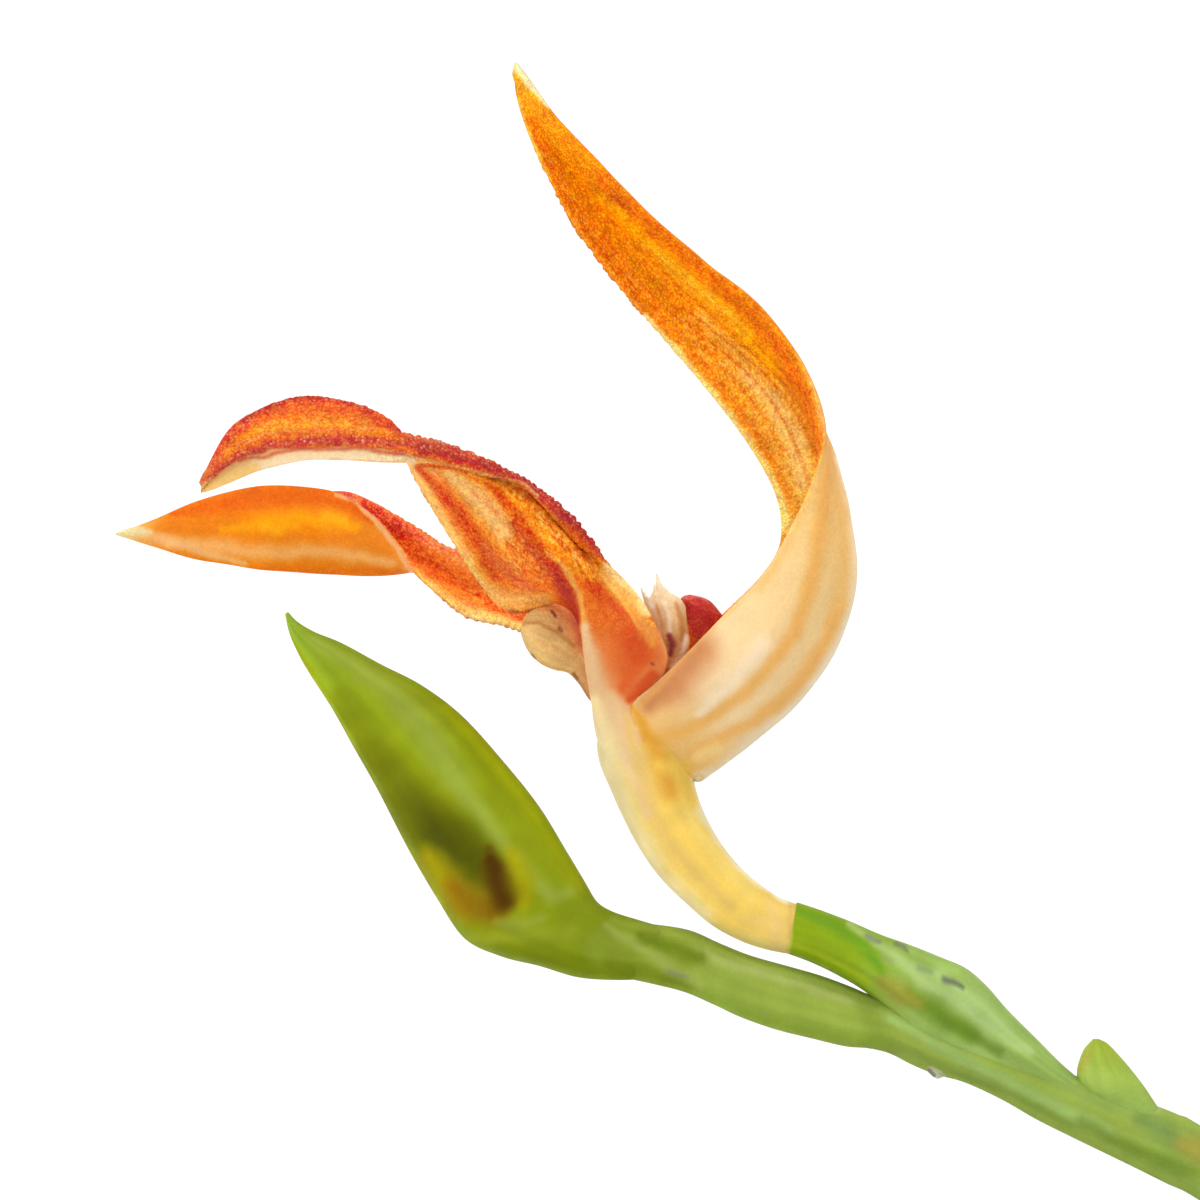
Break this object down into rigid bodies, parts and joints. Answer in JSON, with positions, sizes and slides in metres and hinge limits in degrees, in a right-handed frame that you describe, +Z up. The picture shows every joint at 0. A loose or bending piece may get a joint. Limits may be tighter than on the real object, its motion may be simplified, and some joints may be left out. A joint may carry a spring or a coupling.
{
  "type": "potted pleurothallid orchid in flower",
  "caption": "Small orchid in flower: a tuft of leathery leaves in bark in a plain terracotta pot, with an arching zig-zag stalk that carries an open orange flower and a bud.",
  "frame": {"origin": "centre of the pot's base, on the surface that it stands on", "axes": "+Z up, +X to the right in the picture's view and +Y away from it"},
  "size_m": [0.0862, 0.0802, 0.1528],
  "materials": {
    "terracotta": "fired clay, dry and matt, orange-brown with paler bloom",
    "bark": "fine bark chips, rough, mixed browns",
    "root_skin": "grey-white velamen on roots and papery rhizome",
    "leaf": "leathery green leaf, soft gloss, sunken midrib",
    "flower_stalk": "fresh green, satin, long veins and dark flecks",
    "bud": "yellow-green, satin, olive shade and a brown slit",
    "pedicel": "translucent cream yellow",
    "dorsal_sepal": "translucent orange with darker veins, cream outside at the base, finely grained inside",
    "lateral_sepal": "translucent orange-red, warty red margins, pale keel",
    "petal": "thin, near white, fringed edge",
    "lip": "pale amber with fine lines",
    "column": "dark red, satin, hooded"
  },
  "bodies": {
    "root": {"pot": "terracotta", "substrate": "bark", "crown": "root_skin", "leaf_1": "leaf", "leaf_2": "leaf", "leaf_3": "leaf", "leaf_4": "leaf", "leaf_5": "leaf", "leaf_6": "leaf", "leaf_7": "leaf", "leaf_8": "leaf", "leaf_9": "leaf", "scape": "flower_stalk", "pedicel_sheath": "flower_stalk", "bud_bract": "bud", "ovary": "pedicel", "dorsal_sepal": "dorsal_sepal", "near_lateral_sepal": "lateral_sepal", "far_lateral_sepal": "lateral_sepal", "near_petal": "petal", "far_petal": "petal", "lip": "lip", "column": "column"}
  },
  "joints": []
}
